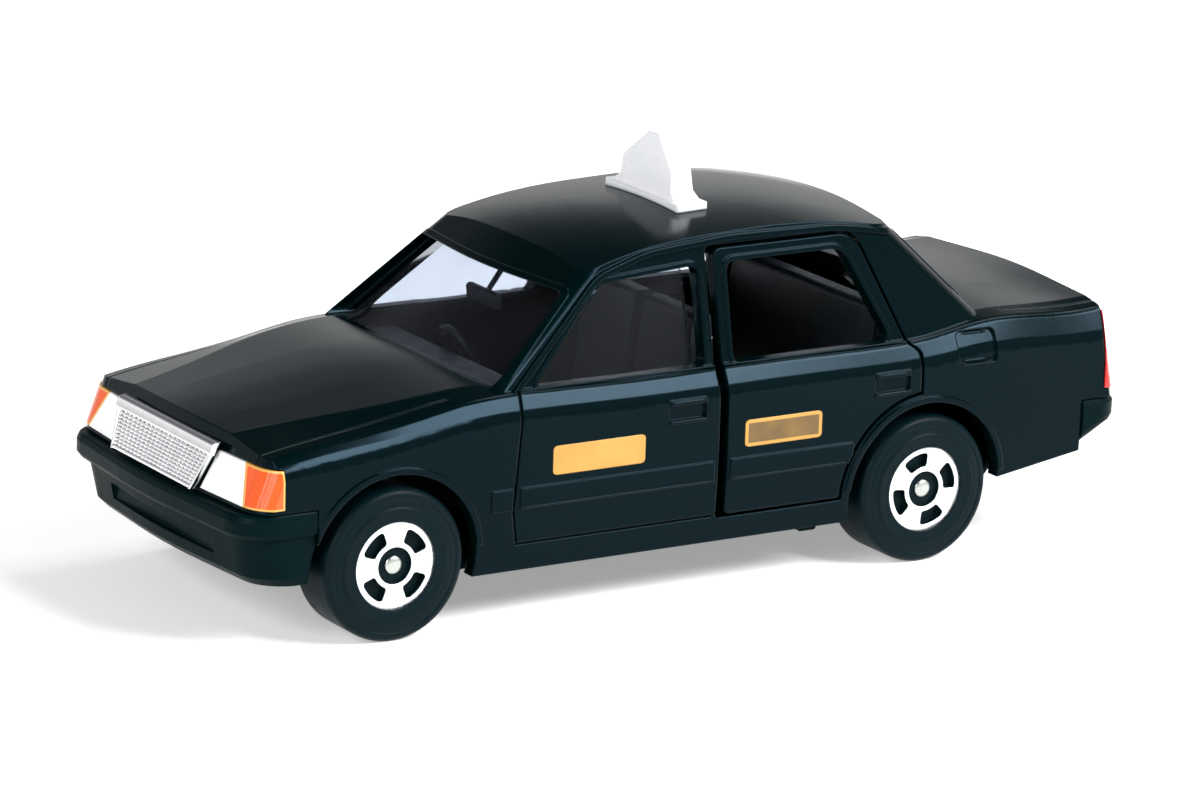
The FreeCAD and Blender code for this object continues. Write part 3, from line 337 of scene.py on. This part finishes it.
def front_lens(name, white_pair, amber_pair, highlight_gold):
    """White lens with fine flutes, amber beyond a slanting line, and a lighter gold rim round the amber that
    is a painted highlight on the lens's edges.
    """
    material, tree, shader = node_tree(name)
    place = split_coords(tree)
    line = remap(tree, place["Z"], lamp_low_z * MM, lamp_high_z * MM, amber_low_y * MM, amber_high_y * MM)
    beyond = math_node(tree, "SUBTRACT", math_node(tree, "ABSOLUTE", place["Y"]), line)
    is_amber = math_node(tree, "GREATER_THAN", beyond, 0.0)
    near = math_node(tree, "LESS_THAN", math_node(tree, "ABSOLUTE", beyond), highlight_rim_width * MM)
    low = math_node(tree, "LESS_THAN", place["Z"], (lamp_low_z + highlight_rim_width) * MM)
    high = math_node(tree, "GREATER_THAN", place["Z"], (lamp_high_z - highlight_rim_width) * MM)
    behind = math_node(tree, "LESS_THAN", place["X"], (lamp_back_x + highlight_rim_width) * MM)
    border = math_node(tree, "MAXIMUM", math_node(tree, "MAXIMUM", low, high), behind)
    # The rim is painted highlight: a lighter gold band along the amber's edges
    highlight_rim_mask = math_node(tree, "MAXIMUM", near, math_node(tree, "MULTIPLY", border, is_amber))
    white_part = blend_colours(tree, spread(tree, noise(tree, 0.9), 0.0, 1.0), *white_pair)
    amber_part = blend_colours(tree, spread(tree, noise(tree, 0.9), 0.0, 1.0), *amber_pair)
    base = blend_colours(tree, is_amber, white_part, amber_part)
    tree.links.new(blend_colours(tree, highlight_rim_mask, base, highlight_gold), shader.inputs["Base Color"])
    tree.links.new(spread(tree, noise(tree, 1.4), 0.16, 0.26), shader.inputs["Roughness"])
    relief(tree, shader, flutes(tree, place["Y"], 0.3), 0.01, 0.8, 0.12)
    return material


# Materials
paint = painted("black_enamel", (0.0001, 0.0033, 0.0036), (0.0002, 0.0039, 0.0042), 0.16, 0.1,
                (0.4, 0.68, 0.95))
base_black = moulded("base_black", (0.0003, 0.006, 0.0072), (0.0006, 0.008, 0.0094), 0.36, 0.03)
tyre_black = moulded("tyre_black", (0.0006, 0.0062, 0.0085), (0.001, 0.008, 0.0104), 0.4, 0.07, grain=3.0)
interior_black = moulded("interior_black", (0.003, 0.006, 0.01), (0.006, 0.009, 0.013), 0.42, 0.3,
                         depth=0.001)
clear = clear_plastic("clear_glazing", (0.7, 0.74, 0.81), 0.05, 1.16, 0.994)
chrome = plated("bright_chrome", (0.95, 0.95, 0.96), 0.16)
# The grille's dark grey back is painted shade: it darkens the cells between the chrome bars
grille_shade_grey = plated("grille_back_shade", (0.2, 0.21, 0.22), 0.35)
disc_silver = plated("disc_silver", (0.93, 0.94, 0.95), 0.3)
steel = plated("pin_steel", (0.5, 0.52, 0.49), 0.3)
white = moulded("sign_white", (0.84, 0.86, 0.89), (0.89, 0.9, 0.92), 0.3, edge=0.3)
# The last colour is the gold of the painted highlight round the amber
front_glass = front_lens("front_lens", ((0.93, 0.95, 0.97), (0.97, 0.98, 0.99)),
                         ((0.8, 0.085, 0.004), (0.86, 0.1, 0.006)), (0.78, 0.4, 0.09))
red = lens("lamp_red", (0.6, 0.014, 0.012), (0.68, 0.03, 0.02), 0.22, 0.95, 0.08)
plate_yellow = moulded("plate_yellow", (0.5, 0.24, 0.04), (0.56, 0.29, 0.055), 0.32)
plate_dark = moulded("plate_dark", (0.1, 0.055, 0.011), (0.19, 0.105, 0.02), 0.35)


def dress(name, material):
    """Gives a CAD node's mesh the material."""
    mesh = nodes[name].data
    mesh.materials.clear()
    mesh.materials.append(material)


def dress_nodes():
    """Gives every CAD node that stays in sight its material."""
    for name in ("body_shell", "rear_left_door"):
        dress(name, paint)
    for name in ("interior_tray", "rear_view_mirror"):
        dress(name, interior_black)
    for side in ("left", "right"):
        dress("headlamp_" + side, front_glass)
        dress("indicator_" + side, front_glass)
        dress("tail_lamp_" + side, red)
    dress("base_plate", base_black)
    dress("window_insert", clear)
    dress("roof_sign", white)


def piece(name, mesh, materials, body):
    """A new object from a bmesh in millimetres, riding on a body."""
    bmesh.ops.recalc_face_normals(mesh, faces=mesh.faces)
    bmesh.ops.scale(mesh, vec=(MM, MM, MM), verts=mesh.verts)
    data = bpy.data.meshes.new(name)
    mesh.to_mesh(data)
    mesh.free()
    for material in materials:
        data.materials.append(material)
    data.shade_smooth()
    data.set_sharp_from_angle(angle=radians(35.0))
    made = bpy.data.objects.new(name, data)
    bpy.context.scene.collection.objects.link(made)
    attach(made, body)
    return made


def tube(mesh, rings, index=0):
    """Joins rings of points into a tube that is closed at both ends."""
    count = len(rings[0])
    for first, second in zip(rings, rings[1:]):
        for i in range(count):
            j = (i + 1) % count
            mesh.faces.new([first[i], first[j], second[j], second[i]]).material_index = index
    for ring in (rings[0], rings[-1]):
        mesh.faces.new(ring).material_index = index


def lathe(mesh, profile, x, side):
    """Turns a profile of (radius, y) round a wheel's axis; a radius of 0 closes it."""
    rings = []
    for radius, y in profile:
        ring = []
        for i in range(wheel_steps if radius > 0 else 1):
            angle = 2.0 * pi * i / wheel_steps
            place = (x + radius * cos(angle), side * y, tyre_radius + radius * sin(angle))
            ring.append(mesh.verts.new(place))
        rings.append(ring)
    for first, second in zip(rings, rings[1:]):
        for i in range(wheel_steps):
            corners = [first[i % len(first)], first[(i + 1) % len(first)],
                       second[(i + 1) % len(second)], second[i % len(second)]]
            corners = list(dict.fromkeys(corners))
            if len(corners) > 2:
                mesh.faces.new(corners)


def arc(centre, radius, start, end, steps):
    """Points on an arc in a plane, with its angles in degrees."""
    points = []
    for i in range(steps + 1):
        angle = radians(start + (end - start) * i / steps)
        points.append((centre[0] + radius * cos(angle), centre[1] + radius * sin(angle)))
    return points


def wheel_profile():
    """The black moulding in section: back, tread, rounded shoulder, ridge, disc recess, hub recess, bore."""
    face = wheel_face_y
    back = face - tyre_width
    shoulder = face - tyre_ridge
    disc_face = face - disc_depth
    lip = 0.05
    gap = 0.02
    chamfer = tyre_back_chamfer
    points = [(pin_bore, back), (tyre_radius - chamfer, back), (tyre_radius, back + chamfer)]
    points += arc((tyre_radius - tyre_shoulder, shoulder - tyre_shoulder), tyre_shoulder, 0.0, 90.0, 7)
    for reach, drop in zip(groove_from_ridge, (0.0, groove_depth, 0.0)):
        points.append((tyre_ridge_radius + reach, shoulder - drop))
    points += [(tyre_ridge_radius + ridge_foot, shoulder), (tyre_ridge_radius, face - gap)]
    points += [(tyre_ridge_radius - ridge_crest, face), (tyre_ridge_radius - ridge_inner, face - lip)]
    points += [(disc_radius + 3.0 * gap, face - lip), (disc_radius, face - 2.0 * lip)]
    points += [(disc_radius, disc_face - slot_depth), (slot_inner_radius - gap, disc_face - slot_depth)]
    points += [(slot_inner_radius - gap, disc_face - lip), (hub_radius + gap, disc_face - lip)]
    points += [(hub_radius, face - hub_depth), (pin_bore, face - hub_depth), (pin_bore, back)]
    return points


def slot_outline(turn):
    """One slot: a rectangle with rounded corners, bent round the hub."""
    middle = (slot_inner_radius + slot_outer_radius) / 2
    half_height = (slot_outer_radius - slot_inner_radius) / 2
    half_length = middle * radians(slot_angle / 2)
    points = []
    for quarter, (a, b) in enumerate(((1, 1), (-1, 1), (-1, -1), (1, -1))):
        centre = (a * (half_length - slot_round), b * (half_height - slot_round))
        points += arc(centre, slot_round, 90.0 * quarter, 90.0 * quarter + 90.0, 5)
        if a * b > 0:
            points += [(centre[0] * (1 - 2 * s / 8), b * half_height) for s in range(1, 8)]
    outline = []
    for along, up in points:
        angle = radians(turn) + along / middle
        outline.append(((middle + up) * cos(angle), (middle + up) * sin(angle)))
    return outline


def ring_outline(radius):
    """A circle about the wheel's axis."""
    return arc((0.0, 0.0), radius, 0.0, 360.0 * (wheel_steps - 1) / wheel_steps, wheel_steps - 1)


def disc_plate(x, side, turn):
    """The slotted disc as a bmesh, silver on its raised face and black on the walls of its slots."""
    curve = bpy.data.curves.new("disc_outline", "CURVE")
    curve.dimensions = "2D"
    curve.fill_mode = "BOTH"
    curve.extrude = 0.5 * slot_depth - disc_edge
    curve.bevel_depth = disc_edge
    curve.bevel_resolution = 1
    outlines = [ring_outline(disc_radius - disc_edge), ring_outline(hub_radius + disc_edge)]
    outlines += [slot_outline(turn + 90.0 * i) for i in range(4)]
    for outline in outlines:
        spline = curve.splines.new("POLY")
        spline.points.add(len(outline) - 1)
        for point, (a, b) in zip(spline.points, outline):
            point.co = (a, b, 0.0, 1.0)
        spline.use_cyclic_u = True
    holder = bpy.data.objects.new("disc_outline", curve)
    bpy.context.scene.collection.objects.link(holder)
    bpy.context.view_layer.update()
    flat = bpy.data.meshes.new_from_object(holder)
    bpy.data.objects.remove(holder)
    bpy.data.curves.remove(curve)
    mesh = bmesh.new()
    mesh.from_mesh(flat)
    bpy.data.meshes.remove(flat)
    bmesh.ops.remove_doubles(mesh, verts=mesh.verts, dist=0.001)
    middle = wheel_face_y - disc_depth - 0.5 * slot_depth
    for vert in mesh.verts:
        a, b, c = vert.co
        vert.co = (x + a, side * (middle + c), tyre_radius + b)
    mesh.normal_update()
    for face in mesh.faces:
        raised = abs(face.normal.y) > 0.35 and side * face.calc_center_median().y > middle
        face.material_index = 1 if raised else 0
    return mesh


def add_wheel(name, body, x, side, turn):
    """A black wheel with its slotted silver disc."""
    mesh = disc_plate(x, side, turn if side > 0 else -turn)
    lathe(mesh, wheel_profile(), x, side)
    made = piece(name + "_wheel", mesh, [tyre_black, disc_silver], body)
    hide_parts("wheel_" + name)


def add_axle(name, x):
    """A steel pin with a domed head at each end."""
    head = wheel_face_y - hub_depth + pin_head_gap
    dome = head + pin_head_rim
    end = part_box(name)[1].y / MM
    mesh = bmesh.new()
    half = [(pin_radius, head), (pin_head_radius, head), (pin_head_radius, dome)]
    half += [(pin_head_radius * cos(radians(a)), dome + (end - dome) * sin(radians(a)))
             for a in range(15, 90, 15)]
    half.append((0.0, end))
    other = [(radius, -y) for radius, y in reversed(half)]
    lathe(mesh, other + half, x, 1)
    made = piece(name + "_pin", mesh, [steel], "car")
    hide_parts(name)


def on_nose(y, z, proud):
    """A point in front of the leaning nose plane, in millimetres."""
    return Vector((nose_x + nose_lean * (nose_z - z) + proud, y, z))


def grille_width(z):
    """Half the grille's width at a height."""
    return grille_low_y + (grille_top_y - grille_low_y) * (z - grille_low_z) / (grille_top_z - grille_low_z)


def bar(mesh, start, end, across, size):
    """A bar with rounded edges between two points on the nose; size is half its width, and its depth."""
    half_section = [(0.5, 1.0), (0.7, 0.95), (0.92, 0.72), (1.0, 0.0)]
    section = [(-a, b) for a, b in reversed(half_section)] + half_section
    forward = Vector((size[1], 0.0, 0.0))
    rings = []
    for place in (start, end):
        rings.append([mesh.verts.new(place + across * (size[0] * a) + forward * b) for a, b in section])
    tube(mesh, rings)


def add_grille():
    """The chrome grille: a dark grey back that paints the shade in its cells, fine bars and uprights, and a
    frame whose top bar is broad.
    """
    mesh = bmesh.new()
    up = (on_nose(0, 1, 0) - on_nose(0, 0, 0)).normalized()
    left = Vector((0.0, 1.0, 0.0))
    frame_side = grille_side_size[0]
    frame_top = grille_top_bar_size[0]
    corners = [(-grille_low_y, grille_low_z), (grille_low_y, grille_low_z),
               (grille_top_y, grille_top_z), (-grille_top_y, grille_top_z)]
    # The back plate takes the second material, the painted shade of the cells
    tube(mesh, [[mesh.verts.new(on_nose(y, z, proud)) for y, z in corners]
                for proud in (grille_back_low, grille_back_top)], 1)
    low_z = grille_low_z + 2.0 * frame_side
    high_z = grille_top_z - 2.0 * frame_top
    for i in range(grille_bars):
        z = low_z + (high_z - low_z) * (i + 0.5) / grille_bars
        y = grille_width(z) - grille_bar_inset
        bar(mesh, on_nose(-y, z, grille_foot), on_nose(y, z, grille_foot), up, grille_bar_size)
    for i in range(1, grille_uprights):
        share = 2.0 * i / grille_uprights - 1.0
        ends = [on_nose(share * (grille_width(z) - grille_upright_inset), z, grille_foot)
                for z in (grille_low_z + grille_upright_low, grille_top_z - grille_upright_top)]
        bar(mesh, ends[0], ends[1], left, grille_upright_size)
    for sign in (-1, 1):
        low_end = on_nose(sign * (grille_low_y - frame_side), grille_low_z + 0.02, grille_foot)
        top_end = on_nose(sign * (grille_top_y - frame_side), grille_top_z - 0.1, grille_foot)
        bar(mesh, low_end, top_end, left, grille_side_size)
    for y, z, size in ((grille_low_y - 0.05, grille_low_z + frame_side, (frame_side, grille_low_bar_depth)),
                       (grille_top_y - 0.08, grille_top_z - frame_top, grille_top_bar_size)):
        bar(mesh, on_nose(-y, z, grille_foot), on_nose(y, z, grille_foot), up, size)
    made = piece("grille_lattice", mesh, [chrome, grille_shade_grey], "car")
    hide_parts("grille_insert")


def surface_of(name):
    """A tree for casting rays at a CAD node's mesh."""
    data = nodes[name].data
    return BVHTree.FromPolygons([v.co for v in data.vertices], [tuple(p.vertices) for p in data.polygons])


def reach_at(surface, x, z, side):
    """How far out a surface stands on one side, in millimetres, or None where it has nothing there."""
    hit = surface.ray_cast(Vector((x, side * ray_start_y, z)) * MM, Vector((0.0, -side, 0.0)))[0]
    return None if hit is None else side * hit.y / MM


def plate_lines(half, border, count):
    """Places across a plate: its ends, its borders and count equal steps between the borders."""
    inner = [border - half + 2.0 * (half - border) * i / count for i in range(count + 1)]
    return [-half] + inner + [half]


def add_plate(name, node, body, place, bordered):
    """A printed plate on the left side with rounded corners, yellow all over or round a dark field."""
    x0, x1, z0, z1 = place
    half_x = (x1 - x0) / 2
    half_z = (z1 - z0) / 2
    surface = surface_of(node)
    columns = plate_lines(half_x, plate_border, plate_columns)
    corner_rows = [half_z - drop for drop in plate_corner_rows]
    rows = [-v for v in corner_rows] + plate_lines(half_z, plate_border, plate_rows)[1:-1] + corner_rows[::-1]
    mesh = bmesh.new()
    layers = []
    for proud in (plate_proud, -plate_proud):
        grid = []
        for v in rows:
            over = max(0.0, abs(v) - (half_z - plate_round))
            pull = 1.0 - (plate_round - sqrt(max(0.0, plate_round ** 2 - over ** 2))) / half_x
            line = []
            for u in columns:
                x = (x0 + x1) / 2 + u * pull
                z = (z0 + z1) / 2 + v
                line.append(mesh.verts.new((x, reach_at(surface, x, z, 1) + proud, z)))
            grid.append(line)
        layers.append(grid)
    last_row = len(rows) - 1
    last_column = len(columns) - 1
    border_rows = len(plate_corner_rows)
    for grid in layers:
        for r in range(last_row):
            for c in range(last_column):
                face = mesh.faces.new([grid[r][c], grid[r][c + 1], grid[r + 1][c + 1], grid[r + 1][c]])
                inner = border_rows <= r < last_row - border_rows and 1 <= c < last_column - 1
                face.material_index = 1 if bordered and inner else 0
    edge = [(0, c) for c in range(last_column)] + [(r, last_column) for r in range(last_row)]
    edge += [(last_row, c) for c in range(last_column, 0, -1)] + [(r, 0) for r in range(last_row, 0, -1)]
    for (r0, c0), (r1, c1) in zip(edge, edge[1:] + edge[:1]):
        mesh.faces.new([layers[0][r0][c0], layers[0][r1][c1], layers[1][r1][c1], layers[1][r0][c0]])
    piece(name, mesh, [plate_yellow, plate_dark], body)


def add_bead(name, node, body, x0, x1, z, side, radius):
    """A fine half-sunk bead with tapered ends along a raised edge, left off where the node has no surface."""
    surface = surface_of(node)
    steps = max(6, int((x1 - x0) * 2))
    angles = [2.0 * pi * j / bead_points for j in range(bead_points)]
    mesh = bmesh.new()
    rings = []
    for i in range(steps + 1):
        share = i / steps
        x = x0 + (x1 - x0) * share
        size = radius * min(1.0, 0.35 + 3.0 * min(share, 1.0 - share) * (x1 - x0))
        reach = reach_at(surface, x, z, side)
        if reach is None:
            continue
        y = side * min(reach - bead_sunk * size, side_reach - size)
        rings.append([mesh.verts.new((x, y + side * size * cos(a), z + size * sin(a))) for a in angles])
    tube(mesh, rings)
    made = piece(name, mesh, [paint], body)


def add_beads():
    """Beads on the edges of the side strips, the door handles and the filler flap."""
    shell = ("body_shell", "car")
    for side, hand in ((1, "left"), (-1, "right")):
        rear = ("rear_left_door", "door") if side > 0 else shell
        for level, z in strip_edges_z:
            add_bead(f"strip_front_{level}_{hand}", *shell, *front_strip_x, z, side, strip_bead)
            add_bead(f"strip_rear_{level}_{hand}", *rear, *rear_strip_x, z, side, strip_bead)
        for level, z in handle_edges_z:
            add_bead(f"handle_front_{level}_{hand}", *shell, *front_handle_x, z, side, front_handle_bead)
            add_bead(f"handle_rear_{level}_{hand}", *rear, *rear_handle_x, z, side, rear_handle_bead)
    add_bead("flap_low", *shell, *flap_low_edge, 1, flap_low_bead)
    add_bead("flap_high", *shell, *flap_high_edge, 1, flap_high_bead)


def add_tab():
    """The small rounded tab that stands down from the left sill."""
    mesh = bmesh.new()
    half = tab_length / 2
    points = arc((half - tab_round, tab_low_z + tab_round), tab_round, 0.0, -90.0, 5)
    points += [(-a, b) for a, b in reversed(points)]
    points = [(half, tab_high_z)] + points + [(-half, tab_high_z)]
    tube(mesh, [[mesh.verts.new((tab_x + a, tab_y + y, b)) for a, b in points]
                for y in (-tab_half_thickness, tab_half_thickness)])
    piece("sill_tab", mesh, [base_black], "car")


def path_flags(tree):
    """1 for rays from the camera and for those that reflect in gloss or pass through glass."""
    path = tree.nodes.new("ShaderNodeLightPath").outputs
    seen = math_node(tree, "MAXIMUM", path["Is Camera Ray"], path["Is Glossy Ray"])
    return math_node(tree, "MAXIMUM", seen, path["Is Transmission Ray"])


def add_floor():
    """A white table that keeps the car's shadow; its lift to white is seen but lights nothing."""
    size = table_half_size
    corners = [(-size, -size, 0), (size, -size, 0), (size, size, 0), (-size, size, 0)]
    mesh = bpy.data.meshes.new("table_top")
    mesh.from_pydata(corners, [], [(0, 1, 2, 3)])
    table = bpy.data.objects.new("table_top", mesh)
    bpy.context.scene.collection.objects.link(table)
    material, tree, shader = node_tree("table_white")
    shader.inputs["Base Color"].default_value = (table_white, table_white, table_white, 1.0)
    shader.inputs["Roughness"].default_value = 0.8
    shader.inputs["Specular IOR Level"].default_value = 0.1
    shader.inputs["Emission Color"].default_value = (1.0, 1.0, 1.0, 1.0)
    lift = math_node(tree, "MULTIPLY", path_flags(tree), table_lift)
    tree.links.new(lift, shader.inputs["Emission Strength"])
    material.cycles.emission_sampling = "NONE"
    mesh.materials.append(material)


def softbox(name, direction, distance, size, radiance):
    """A rectangular lamp that faces the car. radiance is its brightness, where 1 is white."""
    data = bpy.data.lights.new(name, "AREA")
    data.shape = "RECTANGLE"
    data.size = size[0]
    data.size_y = size[1]
    data.energy = radiance * pi * size[0] * size[1]
    lamp = bpy.data.objects.new(name, data)
    bpy.context.scene.collection.objects.link(lamp)
    away = Vector(direction).normalized()
    lamp.location = away * distance
    lamp.rotation_euler = away.to_track_quat("Z", "Y").to_euler()


def add_world():
    """Even light all round. What reflects or is seen is a white backdrop under a dim ceiling."""
    world = bpy.data.worlds.new("studio")
    bpy.context.scene.world = world
    world.use_nodes = True
    tree = world.node_tree
    tree.nodes.clear()
    output = tree.nodes.new("ShaderNodeOutputWorld")
    even = tree.nodes.new("ShaderNodeBackground")
    even.inputs["Strength"].default_value = even_light
    seen = tree.nodes.new("ShaderNodeBackground")
    split = tree.nodes.new("ShaderNodeSeparateXYZ")
    tree.links.new(tree.nodes.new("ShaderNodeTexCoord").outputs["Generated"], split.inputs[0])
    ramp = tree.nodes.new("ShaderNodeValToRGB")
    tree.links.new(split.outputs["Z"], ramp.inputs["Fac"])
    stops = ramp.color_ramp.elements
    while len(stops) < len(backdrop):
        stops.new(0.5)
    for stop, (height, brightness) in zip(stops, backdrop):
        stop.position = height
        stop.color = (brightness, brightness, min(1.0, brightness + 0.015), 1.0)
    tree.links.new(ramp.outputs["Color"], seen.inputs["Color"])
    mix = tree.nodes.new("ShaderNodeMixShader")
    tree.links.new(path_flags(tree), mix.inputs["Fac"])
    tree.links.new(even.outputs["Background"], mix.inputs[1])
    tree.links.new(seen.outputs["Background"], mix.inputs[2])
    tree.links.new(mix.outputs["Shader"], output.inputs["Surface"])


def add_light():
    """Two lamps over the left side, which light its shoulders, and one before the nose."""
    for name, direction, distance, size, radiance in lamps:
        softbox(name, direction, distance, size, radiance)


def add_camera():
    """The camera at the photograph's place, aimed at its target and rolled a little."""
    back = Vector((sin(camera_azimuth) * cos(camera_elevation), -cos(camera_azimuth) * cos(camera_elevation),
                   sin(camera_elevation)))
    right = Vector((cos(camera_azimuth), sin(camera_azimuth), 0.0))
    up = back.cross(right)
    turned_right = right * cos(camera_roll) + up * sin(camera_roll)
    turned_up = up * cos(camera_roll) - right * sin(camera_roll)
    data = bpy.data.cameras.new("camera")
    data.sensor_width = 36.0
    data.lens = camera_lens
    data.clip_start = 0.01
    camera = bpy.data.objects.new("camera", data)
    bpy.context.scene.collection.objects.link(camera)
    rotation = Matrix((turned_right, turned_up, back)).transposed()
    camera.matrix_world = Matrix.Translation(camera_target + back * camera_distance) @ rotation.to_4x4()
    bpy.context.scene.camera = camera


dress_nodes()
add_wheel("front_left", "wheel_fl", front_axle_x, 1, front_slot_turn)
add_wheel("front_right", "wheel_fr", front_axle_x, -1, front_slot_turn)
add_wheel("rear_left", "wheel_rl", rear_axle_x, 1, rear_slot_turn)
add_wheel("rear_right", "wheel_rr", rear_axle_x, -1, rear_slot_turn)
add_axle("front_axle", front_axle_x)
add_axle("rear_axle", rear_axle_x)
add_grille()
add_plate("front_plate_left", "body_shell", "car", front_plate, False)
add_plate("rear_plate_left", "rear_left_door", "door", rear_plate, True)
add_beads()
add_tab()
add_floor()
add_world()
add_light()
add_camera()
bpy.context.scene.view_settings.view_transform = "Standard"
